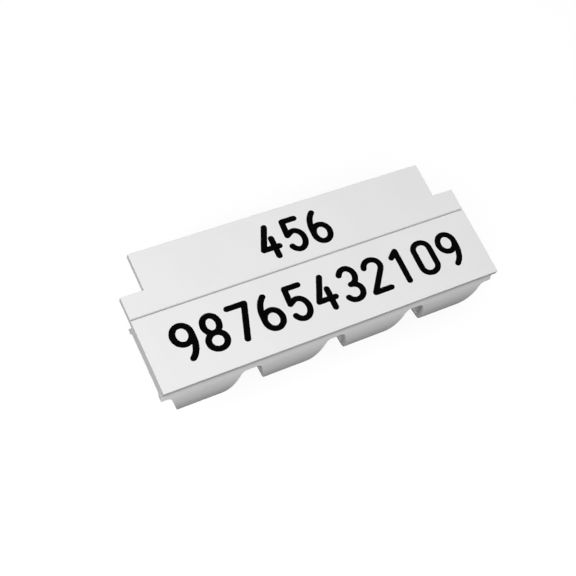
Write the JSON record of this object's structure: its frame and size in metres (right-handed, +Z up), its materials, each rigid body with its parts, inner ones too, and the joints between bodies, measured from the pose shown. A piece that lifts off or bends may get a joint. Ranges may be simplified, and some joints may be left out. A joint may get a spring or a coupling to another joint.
{
  "type": "cable marker",
  "caption": "One-piece moulded clip-on cable marker: a flat marking plate with a score groove and a rear tab, over a C-shaped clip whose spring fingers hold a round cable.",
  "frame": {"origin": "in the clip's middle plane, at the level where the clip is widest, half-way along the plate", "axes": "+X along the cable from the plate's left end to its right end, +Y from the plate's front edge towards the tab, +Z up, out of the marking field"},
  "size_m": [0.03, 0.0115, 0.0059],
  "materials": {
    "white_plastic": "white moulded plastic with a fine matt surface"
  },
  "bodies": {
    "root": {"cable_marker": "white_plastic"}
  },
  "joints": []
}
